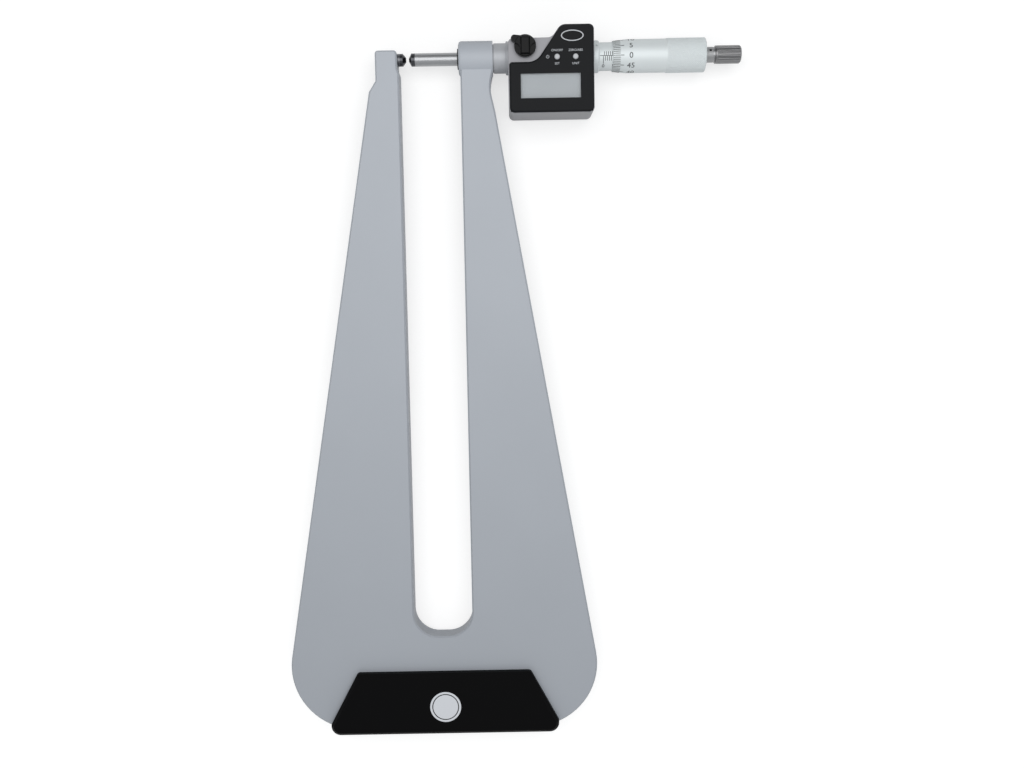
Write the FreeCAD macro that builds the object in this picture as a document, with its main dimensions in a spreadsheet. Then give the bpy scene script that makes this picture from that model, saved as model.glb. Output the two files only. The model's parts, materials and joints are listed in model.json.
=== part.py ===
import FreeCAD, Part
import math
import os
import re
import Sketcher

# A deep-throat micrometer with a digital display, lying on its back.
# The origin is the centre of the anvil's measuring face. +X runs along the measuring axis
# from the anvil to the thimble, +Y from the grip to the head, +Z out of the display.

SIZES = {
    # Frame: a flat casting with a long slot between two tapering arms
    "frame_thick": 12.0,
    "arm_reach": 15.3,
    "arm_top": 3.9,
    "arm_side_drop": 11.0,
    "arm_side_end": 16.5,
    "anvil_seat": 4.3,
    "seat_drop": 5.0,
    "seat_slant_end": 7.6,
    "slot_left": 3.4,
    "slot_width": 31.0,
    "slot_corner": 13.0,
    "throat_depth": 300.0,
    "bridge_height": 51.0,
    "half_width_top": 28.1,
    "half_width_bottom": 88.0,
    "bottom_corner": 35.0,
    "flare_top": 7.5,
    "flare_waist": 14.5,
    "flare_waist_inset": 2.0,
    "flare_end": 27.0,
    "waist_corner": 20.0,
    "tip_corner": 1.6,
    "frame_edge": 0.8,
    "boss_proud": 0.9,
    "boss_length": 17.3,
    "boss_radius": 8.7,
    "boss_edge": 1.3,
    "boss_edge_step": 0.4,
    # Fits between pieces
    "fit_gap": 0.02,
    "run_gap": 0.04,
    "free_gap": 0.1,
    # Anvil and spindle
    "anvil_radius": 3.15,
    "anvil_depth": 9.0,
    "anvil_tip_length": 3.0,
    "anvil_dome": 1.6,
    "face_radius": 1.2,
    "open_gap": 1.5,
    "travel": 25.0,
    "spindle_radius": 3.25,
    "spindle_tip_length": 3.1,
    "spindle_dome": 1.2,
    "spindle_face_radius": 1.0,
    "screw_radius": 3.6,
    "nut_length": 14.0,
    "tail_radius": 3.4,
    "tail_end_radius": 2.9,
    "tail_length": 5.0,
    "keyway_width": 1.5,
    "keyway_depth": 0.85,
    # Wiper, stem and barrel
    "wiper_radius": 5.1,
    "wiper_proud": 0.6,
    "wiper_depth": 1.7,
    "stem_radius": 5.5,
    "guide_length": 23.0,
    "relief_radius": 3.9,
    "cup_radius": 9.8,
    "cup_wall": 1.2,
    "cup_floor": 1.5,
    "cup_depth": 13.5,
    "cup_back": 3.3,
    "barrel_radius": 6.25,
    "barrel_flange": 3.0,
    "barrel_thread_radius": 5.4,
    "barrel_slit": 0.8,
    "barrel_slit_length": 11.2,
    "nut_outer_radius": 6.6,
    "nut_ring_length": 6.0,
    # Housing, from its left wall
    "collar_length": 7.8,
    "collar_radius": 7.4,
    "collar_groove": 0.5,
    "collar_flange": 1.2,
    "collar_flange_radius": 8.3,
    "collar_edge": 0.3,
    "housing_length": 42.8,
    "housing_front": 12.8,
    "rest_depth": 11.5,
    "housing_wall": 1.5,
    "housing_shoulder": 7.2,
    "housing_corner": 2.6,
    "housing_front_edge": 0.3,
    "housing_back_edge": 1.4,
    "bezel_rim": 0.3,
    "bezel_inset_left": 0.5,
    "bezel_shoulder": -4.7,
    "bezel_top": 13.2,
    "bezel_bottom": -29.2,
    "bezel_thick": 1.5,
    "bezel_bevel": 0.8,
    "step_foot": 14.0,
    "step_head": 26.4,
    "step_foot_corner": 8.0,
    "step_head_corner": 4.5,
    "bezel_corner": 2.4,
    "bezel_left_corner": 1.5,
    "cavity_inset": 1.6,
    "gasket_outset": 0.4,
    "gasket_inset": 1.0,
    "gasket_thick": 0.4,
    # Display and buttons
    "window_left": 6.1,
    "window_width": 29.8,
    "window_top": -10.4,
    "window_height": 12.0,
    "window_lip": 1.1,
    "window_depth": 0.6,
    "panel_lip": 0.6,
    "panel_lift": 0.45,
    "strip_width": 1.2,
    "board_lift": 0.15,
    "board_thick": 0.7,
    "board_inset": 2.2,
    "switch_radius": 1.6,
    "switch_height": 0.35,
    "button_right": 9.3,
    "button_pitch": 9.2,
    "button_row": -2.5,
    "button_radius": 1.3,
    "button_flange": 1.95,
    "button_flange_thick": 0.8,
    "button_proud": 0.7,
    "button_travel": 0.45,
    "button_edge": 0.3,
    "button_ring": 2.0,
    "button_ring_depth": 0.3,
    # Encoder
    "stator_thick": 2.0,
    "rotor_gap": 0.8,
    "rotor_thick": 1.6,
    "rotor_radius": 8.0,
    "hub_radius": 5.0,
    "hub_length": 6.5,
    "key_radius": 0.7,
    # Battery
    "cell_left": 13.8,
    "cell_row": -19.5,
    "cell_radius": 5.8,
    "cell_height": 5.4,
    "well_wall": 1.1,
    "cover_radius": 7.2,
    "cover_lip": 1.0,
    "cover_slot_width": 1.6,
    "cover_slot_length": 9.0,
    "seal_side": 0.9,
    "contact_thick": 0.3,
    "contact_width": 3.0,
    # Fasteners
    "case_screw_side": 2.8,
    "case_screw_rise": 2.6,
    "case_screw_drop": 2.15,
    "column_radius": 1.9,
    "boss_pin_radius": 1.1,
    "case_screw_radius": 0.6,
    "case_head_radius": 1.2,
    "case_head_height": 1.0,
    "case_head_sunk": 1.2,
    "grip_pin_radius": 3.0,
    "grip_screw_radius": 1.1,
    "grip_head_radius": 2.6,
    "grip_head_height": 1.6,
    "grip_head_sunk": 0.6,
    "driver_slot": 0.5,
    # Ring, sleeve and thimble
    "ring_length": 3.15,
    "ring_radius": 7.95,
    "ring_bevel": 0.5,
    "ring_hole_radius": 0.5,
    "ring_hole_depth": 0.6,
    "ring_hole_turn": 31.0,
    "sleeve_radius": 6.95,
    "sleeve_shown": 6.8,
    "sleeve_margin": 3.0,
    "sleeve_hole_radius": 0.6,
    "sleeve_hole_left": 1.8,
    "thimble_bore": 7.3,
    "thimble_front_radius": 7.5,
    "thimble_radius": 8.25,
    "thimble_bevel": 7.2,
    "thimble_length": 47.0,
    "thimble_end_wall": 6.4,
    "knurl_radius": 8.6,
    "knurl_length": 19.8,
    "knurl_edge": 0.6,
    # Ratchet stop
    "ratchet_neck_radius": 3.85,
    "ratchet_neck_length": 4.2,
    "ratchet_hole_radius": 0.65,
    "ratchet_hole_left": 2.6,
    "ratchet_hole_turn": 25.0,
    "ratchet_stub_radius": 1.5,
    "ratchet_stub_length": 8.0,
    "ratchet_shaft_radius": 1.9,
    "ratchet_knob_radius": 4.5,
    "ratchet_knob_length": 13.6,
    "ratchet_knob_bevel": 0.7,
    "ratchet_flutes": 20,
    "ratchet_flute_radius": 0.45,
    "ratchet_groove": 0.7,
    "ratchet_well_depth": 2.4,
    "ratchet_well_radius": 3.0,
    "spring_thick": 0.35,
    # Spindle lock
    "lock_left": 8.5,
    "lock_row": 2.8,
    "lock_radius": 5.4,
    "lock_base_thick": 1.9,
    "lock_rim_height": 3.3,
    "lock_height": 4.4,
    "lock_lift": 0.3,
    "lock_pin_radius": 2.2,
    "lock_bar_width": 4.8,
    "lock_bar_round": 0.9,
    "lock_edge": 0.5,
    "lock_scoop_radius": 2.8,
    "lock_scoop_side": 5.3,
    "lock_scoop_drop": 1.5,
    "lock_nose_side": 5.3,
    "lock_nose_rise": 3.6,
    "lock_nose_radius": 1.7,
    "lock_nose_thick": 2.7,
    "lock_nose_neck": 1.9,
    "lock_shoe_top": 6.1,
    # Grip shells
    "grip_top_half": 46.0,
    "grip_bottom_half": 60.7,
    "grip_height": 33.4,
    "grip_side_height": 27.6,
    "grip_front_thick": 4.5,
    "grip_lip": 1.1,
    "grip_bevel": 1.5,
    "grip_corner": 5.0,
    "grip_top_corner": 2.0,
    "grip_lip_half": 50.0,
    "grip_screw_half": 28.2,
    "grip_screw_rise": 16.8,
}

doc = FreeCAD.newDocument("micrometer")
sheet = doc.addObject("Spreadsheet::Sheet", "Sizes")
for row, (alias, size) in enumerate(SIZES.items(), start=1):
    sheet.set(f"A{row}", alias)
    sheet.set(f"B{row}", str(size))
    sheet.setAlias(f"B{row}", alias)
doc.recompute()
pieces = []


def link(formula):
    """Points each size in a formula at its cell of the sheet."""
    return re.sub(r"[a-z][a-z_]+", lambda word: f"Sizes.{word[0]}" if word[0] in SIZES else word[0], formula)


def bind(item, prop, formula):
    item.setExpression(prop, link(formula))


def new_body(label, across="0", up="0", out="0"):
    """A piece whose own origin lies at the given place."""
    body = doc.addObject("PartDesign::Body", label)
    body.Label = label
    body.AllowCompound = True
    for axis, formula in zip("xyz", (across, up, out)):
        bind(body, f"Placement.Base.{axis}", formula)
    pieces.append(body)
    return body


def turn_about_axis(body, angle):
    """Turns a piece about the measuring axis, by an angle in degrees from +Y towards +Z."""
    body.Placement.Rotation = FreeCAD.Rotation(FreeCAD.Vector(1, 0, 0), 1)
    bind(body, "Placement.Rotation.Angle", angle)


def sketch_on(body, role, height="0"):
    """A sketch on one of the body's own planes, lifted along the plane's normal."""
    plane = next(item for item in body.Origin.OriginFeatures if item.Role == role)
    sketch = body.newObject("Sketcher::SketchObject", f"{body.Label}_sketch")
    sketch.AttachmentSupport = [(plane, "")]
    sketch.MapMode = "FlatFace"
    bind(sketch, "AttachmentOffset.Base.z", height)
    return sketch


def pin_point(sketch, item, point, across, up):
    """Holds a point of a sketch at two formulas, or on an axis where one of them is 0."""
    for kind, formula, axis in (("DistanceX", across, -2), ("DistanceY", up, -1)):
        if formula == "0":
            sketch.addConstraint(Sketcher.Constraint("PointOnObject", item, point, axis))
        else:
            index = sketch.addConstraint(Sketcher.Constraint(kind, -1, 1, item, point, 1.0))
            bind(sketch, f"Constraints[{index}]", formula)


def draw_outline(sketch, corners):
    """A closed outline of straight edges through the corners."""
    count = len(corners)
    first = sketch.GeometryCount
    turn = 2 * math.pi / count
    ring = [FreeCAD.Vector(math.cos(turn * k), math.sin(turn * k), 0) for k in range(count)]
    for k in range(count):
        sketch.addGeometry(Part.LineSegment(ring[k], ring[(k + 1) % count]))
    for k in range(count):
        sketch.addConstraint(Sketcher.Constraint("Coincident", first + k, 2, first + (k + 1) % count, 1))
    for k, (across, up) in enumerate(corners):
        pin_point(sketch, first + k, 1, across, up)


def draw_circle(sketch, radius, across="0", up="0"):
    item = sketch.addGeometry(Part.Circle(FreeCAD.Vector(0, 0, 0), FreeCAD.Vector(0, 0, 1), 1.0))
    pin_point(sketch, item, 3, across, up)
    index = sketch.addConstraint(Sketcher.Constraint("Radius", item, 1.0))
    bind(sketch, f"Constraints[{index}]", radius)


def pad(body, sketch, length):
    feature = body.newObject("PartDesign::Pad", f"{body.Label}_pad")
    feature.Profile = sketch
    bind(feature, "Length", length)
    doc.recompute()
    return feature


def pocket(body, sketch, depth, forward=False):
    """Cuts against the sketch's normal, or along it where forward is set."""
    before = body.Shape.Volume
    feature = body.newObject("PartDesign::Pocket", f"{body.Label}_pocket")
    feature.Profile = sketch
    feature.Reversed = forward
    bind(feature, "Length", depth)
    doc.recompute()
    if not body.Shape.Volume < before:
        raise ValueError(f"{body.Label}: a pocket cuts nothing")
    return feature


def outline_pad(body, corners, low, thick):
    sketch = sketch_on(body, "XY_Plane", low)
    draw_outline(sketch, corners)
    return pad(body, sketch, thick)


def outline_pocket(body, corners, top, depth):
    sketch = sketch_on(body, "XY_Plane", top)
    draw_outline(sketch, corners)
    return pocket(body, sketch, depth)


def posts(body, radius, places, low, length):
    """Upright round posts at the places, or one wider disc."""
    sketch = sketch_on(body, "XY_Plane", low)
    for across, up in places:
        draw_circle(sketch, radius, across, up)
    return pad(body, sketch, length)


def holes(body, radius, places, top, depth):
    """Round holes that go down from a level."""
    sketch = sketch_on(body, "XY_Plane", top)
    for across, up in places:
        draw_circle(sketch, radius, across, up)
    return pocket(body, sketch, depth)


def bore(body, radius, start, depth):
    """A round hole along the measuring axis, towards +X."""
    sketch = sketch_on(body, "YZ_Plane", start)
    draw_circle(sketch, radius)
    return pocket(body, sketch, depth, forward=True)


def turning(body, profile, upright=False):
    """Turns a profile about the body's X axis, or about Z. Its corners are places along the axis and radii."""
    sketch = sketch_on(body, "XZ_Plane" if upright else "XY_Plane")
    draw_outline(sketch, [(radius, along) if upright else (along, radius) for along, radius in profile])
    feature = body.newObject("PartDesign::Revolution", f"{body.Label}_turning")
    feature.Profile = sketch
    feature.ReferenceAxis = (sketch, ["V_Axis" if upright else "H_Axis"])
    doc.recompute()


def turned(label, profile, upright=False, **place):
    body = new_body(label, **place)
    turning(body, profile, upright)
    return body


def ring_profile(start, end, inner, outer):
    return [(start, inner), (start, outer), (end, outer), (end, inner)]


def dress(body, kind, size_name, formula, chosen):
    """Rounds or bevels the chosen edges of the body's last feature."""
    base = body.Tip
    names = [f"Edge{k}" for k, edge in enumerate(base.Shape.Edges, start=1) if chosen(edge)]
    if not names:
        raise ValueError(f"{body.Label}: no edge to dress")
    feature = body.newObject(f"PartDesign::{kind}", f"{body.Label}_{kind.lower()}")
    feature.Base = (base, names)
    bind(feature, size_name, formula)
    doc.recompute()
    return feature


def fillet(body, radius, chosen):
    return dress(body, "Fillet", "Radius", radius, chosen)


def chamfer(body, size, chosen):
    return dress(body, "Chamfer", "Size", size, chosen)


def round_corners(body, feature, radii):
    """Rounds upright edges over the numbered corners of a feature's outline."""
    lines = feature.Profile[0].Geometry
    places = {name: [lines[k].StartPoint for k in numbers] for name, numbers in radii.items()}
    for name, spots in places.items():
        fillet(body, name, lambda edge: is_upright(edge) and any(stands_at(edge, spot) for spot in spots))


def is_upright(edge):
    start, end = edge.Vertexes[0].Point, edge.Vertexes[-1].Point
    return abs(start.z - end.z) > 1e-4 and math.hypot(start.x - end.x, start.y - end.y) < 1e-4


def stands_at(edge, spot):
    foot = edge.Vertexes[0].Point
    return math.hypot(foot.x - spot.x, foot.y - spot.y) < 1e-3


def lies_at(edge, level):
    """True where the whole edge lies in the level plane."""
    box = edge.BoundBox
    return abs(box.ZMin - level) < 1e-4 and abs(box.ZMax - level) < 1e-4


def size(name):
    return sheet.get(name)


# Places along the measuring axis
slot_left_x = "(-slot_left)"
slot_right_x = "(slot_width - slot_left)"
slot_mid = "(slot_width / 2 - slot_left)"
boss_left = f"({slot_right_x} - boss_proud)"
boss_right = f"({boss_left} + boss_length)"
housing_left = f"({boss_right} + collar_length)"
housing_right = f"({housing_left} + housing_length)"
stem_start = f"({boss_left} + wiper_depth)"
cup_right = f"({housing_right} - cup_back)"
cup_left = f"({cup_right} - cup_depth - cup_floor)"
ring_left = f"({housing_right} + fit_gap)"
sleeve_left = f"({ring_left} + ring_length + fit_gap)"
thimble_left = f"({sleeve_left} + sleeve_shown)"
thimble_right = f"({thimble_left} + thimble_length)"
opened = "(travel - open_gap)"
sleeve_right = f"({thimble_left} + {opened} + sleeve_margin)"
barrel_right = f"({thimble_right} - thimble_end_wall - open_gap - 4 * free_gap)"
nut_left = f"({barrel_right} - nut_length)"
frame_bottom = "(-throat_depth - bridge_height)"
frame_half = "(frame_thick / 2)"

# Levels of the case and what it holds
bezel_front = "(housing_front + bezel_thick)"
board_low = "(cup_radius + board_lift)"
board_top = f"({board_low} + board_thick)"
case_floor = "(housing_wall - rest_depth)"
cell_low = f"({case_floor} + cover_lip)"
cell_top = f"({cell_low} + cell_height)"

# Places of the case screws and of what turns or presses across the axis
screw_left = f"({housing_left} + bezel_inset_left + case_screw_side)"
screw_right = f"({housing_right} - bezel_rim - case_screw_side)"
case_screws = [
    (screw_left, "(bezel_bottom + case_screw_rise)"),
    (screw_right, "(bezel_bottom + case_screw_rise)"),
    (screw_right, "(bezel_top - case_screw_drop)"),
    (screw_left, "(bezel_shoulder - case_screw_side)"),
]
button_places = [
    (f"({housing_right} - button_right - {k} * button_pitch)", "button_row") for k in (1, 0)
]
lock_x = f"({housing_left} + lock_left)"
cell_place = (f"({housing_left} + cell_left)", "cell_row")
grip_bottom = f"({frame_bottom} - grip_lip)"
grip_screws_at = [
    (f"({slot_mid} {sign} grip_screw_half)", f"({grip_bottom} + grip_screw_rise)") for sign in "-+"
]


def arm_side(sign, drop):
    """A point of a tapering side of the frame, at a distance below the measuring axis."""
    taper = f"(half_width_bottom - half_width_top) / -{frame_bottom}"
    return (f"({slot_mid} {sign} (half_width_top + ({drop}) * {taper}))", f"-({drop})")


def step_x(level, inset):
    """Where the slanted step of the case's outline crosses a level, moved inwards by the inset."""
    run, rise = "(step_head - step_foot)", "(bezel_top - bezel_shoulder)"
    slant = f"(sqrt({run} ^ 2 + {rise} ^ 2) / {rise})"
    return f"({housing_left} + step_foot + (({level}) - bezel_shoulder) * {run} / {rise} + ({inset}) * {slant})"


def stepped_outline(inset):
    """The bezel's outline, moved inwards by the inset."""
    left = f"({housing_left} + bezel_inset_left + {inset})"
    right = f"({housing_right} - bezel_rim - {inset})"
    low, shoulder, top = f"(bezel_bottom + {inset})", f"(bezel_shoulder - {inset})", f"(bezel_top - {inset})"
    return [
        (left, shoulder), (step_x(shoulder, inset), shoulder), (step_x(top, inset), top),
        (right, top), (right, low), (left, low),
    ]


def rectangle(left, right, low, high):
    return [(left, low), (right, low), (right, high), (left, high)]


def mirrored(half_points):
    """Corners to the right of the slot's middle, given from there, followed by their mirror images."""
    right = [(f"({slot_mid} + {half})", up) for half, up in half_points]
    left = [(f"({slot_mid} - {half})", up) for half, up in reversed(half_points)]
    return right + left


def build_frame():
    frame = new_body("frame")
    plate = outline_pad(frame, [
        ("-arm_reach", "arm_top"),
        ("-anvil_seat", "arm_top"),
        ("-anvil_seat", "-seat_drop"),
        (slot_left_x, "-seat_slant_end"),
        (slot_left_x, "-throat_depth"),
        (slot_right_x, "-throat_depth"),
        (slot_right_x, "0"),
        (boss_right, "0"),
        (boss_right, "-flare_top"),
        (f"({boss_right} - flare_waist_inset)", "-flare_waist"),
        arm_side("+", "flare_end"),
        arm_side("+", f"-{frame_bottom}"),
        arm_side("-", f"-{frame_bottom}"),
        arm_side("-", "arm_side_end"),
        ("-arm_reach", "-arm_side_drop"),
    ], f"-{frame_half}", "frame_thick")
    round_corners(frame, plate, {
        "tip_corner": [0, 1], "slot_corner": [4, 5], "waist_corner": [9], "bottom_corner": [11, 12],
    })
    half = size("frame_thick") / 2
    chamfer(frame, "frame_edge", lambda edge: lies_at(edge, half) or lies_at(edge, -half))
    turning(frame, [
        (boss_left, "0"), (boss_left, "(boss_radius - boss_edge)"),
        (f"({boss_left} + boss_edge_step)", "(boss_radius - boss_edge_step)"),
        (f"({boss_left} + boss_edge)", "boss_radius"), (boss_right, "boss_radius"), (boss_right, "0"),
    ])
    bore(frame, "stem_radius + fit_gap", stem_start, "boss_length - wiper_depth")
    bore(frame, "wiper_radius + fit_gap", boss_left, "wiper_depth")
    bore(frame, "anvil_radius + fit_gap", "(-anvil_seat - anvil_depth)", "anvil_depth + anvil_seat")
    holes(frame, "grip_pin_radius + free_gap", grip_screws_at, frame_half, "frame_thick")


def build_anvil():
    tip = "(-anvil_tip_length)"
    turned("anvil", [
        ("(-anvil_seat - anvil_depth)", "0"), ("(-anvil_seat - anvil_depth)", "anvil_radius"),
        (tip, "anvil_radius"), (tip, "0"),
    ])
    turned("anvil_tip", [
        (tip, "0"), (tip, "anvil_radius"), ("-anvil_dome", "anvil_radius"), ("0", "face_radius"), ("0", "0"),
    ])


def build_stem():
    """The wiper, the stem that guides the spindle, with the encoder's cup, and the rear barrel."""
    turned("spindle_wiper", ring_profile(
        f"({boss_left} - wiper_proud)", stem_start, "spindle_radius + run_gap", "wiper_radius"))
    guide_end = f"({stem_start} + guide_length)"
    floor_end = f"({cup_left} + cup_floor)"
    cup_bore = "(cup_radius - cup_wall)"
    guide_bore = "(spindle_radius + run_gap)"
    stem = turned("stem", [
        (stem_start, guide_bore), (stem_start, "stem_radius"), (cup_left, "stem_radius"),
        (cup_left, "cup_radius"), (cup_right, "cup_radius"), (cup_right, cup_bore),
        (floor_end, cup_bore), (floor_end, "relief_radius"), (guide_end, "relief_radius"),
        (guide_end, guide_bore),
    ])
    window = sketch_on(stem, "XY_Plane")
    draw_circle(window, "lock_pin_radius + run_gap", lock_x, "lock_row")
    pocket(stem, window, "cup_radius", forward=True)
    flange = f"({cup_right} - barrel_flange)"
    ring_start = f"({sleeve_right} + free_gap)"
    barrel = turned("barrel", [
        (flange, guide_bore), (flange, f"({cup_bore} - fit_gap)"), (cup_right, f"({cup_bore} - fit_gap)"),
        (cup_right, "barrel_radius"), (ring_start, "barrel_radius"), (ring_start, "barrel_thread_radius"),
        (barrel_right, "barrel_thread_radius"), (barrel_right, "screw_radius + run_gap"),
        (nut_left, "screw_radius + run_gap"), (nut_left, "relief_radius"),
        (sleeve_left, "relief_radius"), (sleeve_left, guide_bore),
    ])
    slit = sketch_on(barrel, "XY_Plane", "-barrel_radius")
    draw_outline(slit, rectangle(
        f"({barrel_right} - barrel_slit_length)", f"({barrel_right} + free_gap)",
        "(-barrel_slit / 2)", "(barrel_slit / 2)"))
    pocket(barrel, slit, "2 * barrel_radius", forward=True)
    turned("adjusting_nut", ring_profile(
        f"({ring_start} + free_gap)", f"({ring_start} + free_gap + nut_ring_length)",
        "barrel_thread_radius + fit_gap", "nut_outer_radius"))
    bore_radius, groove_radius = "(stem_radius + fit_gap)", "(collar_radius - collar_groove)"
    flange_left = f"({housing_left} - collar_flange)"
    turned("neck_collar", [
        (boss_right, bore_radius), (boss_right, groove_radius),
        (f"({boss_right} + collar_groove)", groove_radius), (f"({boss_right} + collar_groove)", "collar_radius"),
        (flange_left, "collar_radius"), (flange_left, "(collar_flange_radius - collar_edge)"),
        (f"({flange_left} + collar_edge)", "collar_flange_radius"), (housing_left, "collar_flange_radius"),
        (housing_left, bore_radius),
    ])


def build_housing():
    housing = new_body("housing")
    left, right = housing_left, housing_right
    top, low = "(bezel_top + bezel_rim)", "(bezel_bottom - bezel_rim)"
    case = outline_pad(housing, [
        (left, "housing_shoulder"), (step_x("housing_shoulder", "-bezel_rim"), "housing_shoulder"),
        (step_x(top, "-bezel_rim"), top), (right, top), (right, low), (left, low),
    ], "-rest_depth", "housing_front + rest_depth")
    round_corners(housing, case, {
        "housing_corner": [0, 3, 4, 5], "step_head_corner": [1, 2],
    })
    chamfer(housing, "housing_front_edge", lambda edge: lies_at(edge, size("housing_front")))
    fillet(housing, "housing_back_edge", lambda edge: lies_at(edge, -size("rest_depth")))
    outline_pocket(housing, stepped_outline("gasket_outset"), "housing_front", "gasket_thick")
    outline_pocket(housing, stepped_outline("cavity_inset"), "housing_front", f"housing_front - {case_floor}")
    posts(housing, "column_radius", case_screws, case_floor, f"{board_low} - {case_floor}")
    holes(housing, "boss_pin_radius + free_gap", case_screws, "housing_front", f"housing_front - {board_low}")
    posts(housing, "cell_radius + free_gap + well_wall", [cell_place], case_floor, f"{cell_top} - {case_floor}")
    bore(housing, "stem_radius + fit_gap", left, f"{cup_left} - {left}")
    bore(housing, "cup_radius + run_gap", cup_left, f"{cup_right} - {cup_left}")
    bore(housing, "barrel_radius + run_gap", cup_right, f"{right} - {cup_right}")
    holes(housing, "lock_pin_radius + run_gap", [(lock_x, "lock_row")], "housing_front", "housing_front")
    holes(housing, "cell_radius + free_gap", [cell_place], cell_top, f"{cell_top} + rest_depth")
    holes(housing, "cover_radius + run_gap", [cell_place], f"({case_floor} - run_gap)", "housing_wall")
    holes(housing, "case_screw_radius + free_gap", case_screws, board_low, f"{board_low} + rest_depth")
    holes(housing, "case_head_radius + free_gap", case_screws,
          "(case_head_height + case_head_sunk - rest_depth)", "case_head_height + case_head_sunk")


def build_bezel():
    window_high, window_low = "window_top", "(window_top - window_height)"
    window_start = f"({housing_left} + window_left)"
    window_end = f"({window_start} + window_width)"
    seat = rectangle(
        f"({window_start} - window_lip)", f"({window_end} + window_lip)",
        f"({window_low} - window_lip)", f"({window_high} + window_lip)")
    bezel = new_body("bezel")
    plate = outline_pad(bezel, stepped_outline("0"), "housing_front", "bezel_thick")
    round_corners(bezel, plate, {
        "bezel_left_corner": [0], "step_foot_corner": [1], "step_head_corner": [2], "bezel_corner": [3, 4, 5],
    })
    front = size("housing_front") + size("bezel_thick")
    chamfer(bezel, "bezel_bevel", lambda edge: lies_at(edge, front))
    outline_pocket(bezel, rectangle(window_start, window_end, window_low, window_high),
                   bezel_front, "bezel_thick")
    outline_pocket(bezel, seat, f"({bezel_front} - window_depth)", "bezel_thick")
    holes(bezel, "button_ring", button_places, bezel_front, "button_ring_depth")
    holes(bezel, "button_radius + free_gap", button_places, bezel_front, "bezel_thick")
    posts(bezel, "boss_pin_radius", case_screws, board_low, f"housing_front - {board_low}")
    holes(bezel, "case_screw_radius + fit_gap", case_screws,
          "(housing_front + bezel_thick / 3)", f"housing_front + bezel_thick / 3 - {board_low}")
    window = new_body("display_window")
    gap = "fit_gap"
    outline_pad(window, rectangle(
        f"({window_start} - window_lip + {gap})", f"({window_end} + window_lip - {gap})",
        f"({window_low} - window_lip + {gap})", f"({window_high} + window_lip - {gap})"),
        "housing_front", "bezel_thick - window_depth")
    panel_low = f"({board_top} + panel_lift)"
    panel_left, panel_right = f"({window_start} - panel_lip)", f"({window_end} + panel_lip)"
    panel_bottom, panel_top = f"({window_low} - panel_lip)", f"({window_high} + panel_lip)"
    panel = new_body("display_panel")
    outline_pad(panel, rectangle(panel_left, panel_right, panel_bottom, panel_top),
                panel_low, f"housing_front - {panel_low}")
    strips = new_body("display_connectors")
    for low, high in ((panel_bottom, f"({panel_bottom} + strip_width)"),
                      (f"({panel_top} - strip_width)", panel_top)):
        outline_pad(strips, rectangle(panel_left, panel_right, low, high), board_top, "panel_lift")


def build_electronics():
    gasket = new_body("housing_gasket")
    outline_pad(gasket, stepped_outline("(gasket_outset + fit_gap)"),
                "(housing_front - gasket_thick)", "gasket_thick")
    outline_pocket(gasket, stepped_outline("gasket_inset"), "housing_front", "gasket_thick")
    board = new_body("circuit_board")
    outline_pad(board, stepped_outline("board_inset"), board_low, "board_thick")
    holes(board, "boss_pin_radius + free_gap", case_screws, board_top, "board_thick")
    switches = new_body("button_switches")
    posts(switches, "switch_radius", button_places, board_top, "switch_height")
    cup_bore = "(cup_radius - cup_wall)"
    stator_left = f"({cup_left} + cup_floor)"
    turned("encoder_stator", ring_profile(
        stator_left, f"({stator_left} + stator_thick)", "relief_radius", f"({cup_bore} - fit_gap)"))
    rotor_left = f"({stator_left} + stator_thick + rotor_gap)"
    hub_right = f"({rotor_left} + hub_length)"
    rotor = turned("encoder_rotor", [
        (rotor_left, "spindle_radius + run_gap"), (rotor_left, "rotor_radius"),
        (f"({rotor_left} + rotor_thick)", "rotor_radius"), (f"({rotor_left} + rotor_thick)", "hub_radius"),
        (hub_right, "hub_radius"), (hub_right, "spindle_radius + run_gap"),
    ])
    key_x = f"(({rotor_left} + rotor_thick + {hub_right}) / 2)"
    key_seat = sketch_on(rotor, "XY_Plane")
    draw_circle(key_seat, "key_radius + fit_gap", key_x, "0")
    pocket(rotor, key_seat, "hub_radius + free_gap", forward=True)
    turned("rotor_key", [
        ("(spindle_radius - keyway_depth + free_gap)", "0"),
        ("(spindle_radius - keyway_depth + free_gap)", "key_radius"),
        ("(hub_radius - free_gap)", "key_radius"), ("(hub_radius - free_gap)", "0"),
    ], upright=True, across=key_x)
    return key_x


def build_battery():
    across, up = cell_place
    turned("battery", [
        (cell_low, "0"), (cell_low, "cell_radius"), (cell_top, "cell_radius"), (cell_top, "0"),
    ], upright=True, across=across, up=up)
    contact = new_body("battery_contact", across=across, up=f"({up} - contact_width / 2)")
    profile = sketch_on(contact, "XZ_Plane")
    far = "(cell_radius + free_gap + well_wall + 2 * contact_thick)"
    sheet_top = f"({cell_top} + contact_thick)"
    draw_outline(profile, [
        ("(-cell_radius / 2)", cell_top), (far, cell_top), (far, board_low),
        (f"({far} - contact_thick)", board_low), (f"({far} - contact_thick)", sheet_top),
        ("(-cell_radius / 2)", sheet_top),
    ])
    pad(contact, profile, "contact_width")
    plug_radius = "(cell_radius - seal_side)"
    cover = turned("battery_cover", [
        ("-rest_depth", "0"), ("-rest_depth", "cover_radius"),
        (f"({case_floor} - run_gap)", "cover_radius"), (f"({case_floor} - run_gap)", plug_radius),
        (f"({cell_low} - run_gap)", plug_radius), (f"({cell_low} - run_gap)", "0"),
    ], upright=True, across=across, up=up)
    outline_pocket(cover, rectangle(
        "(-cover_slot_length / 2)", "(cover_slot_length / 2)", "(-cover_slot_width / 2)", "(cover_slot_width / 2)"),
        "(cover_slot_width / 2 - rest_depth)", "cover_slot_width / 2")
    turned("battery_seal", ring_profile(
        case_floor, f"({case_floor} + seal_side)", f"({plug_radius} + fit_gap)", "(cell_radius - fit_gap)"),
        upright=True, across=across, up=up)


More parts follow.
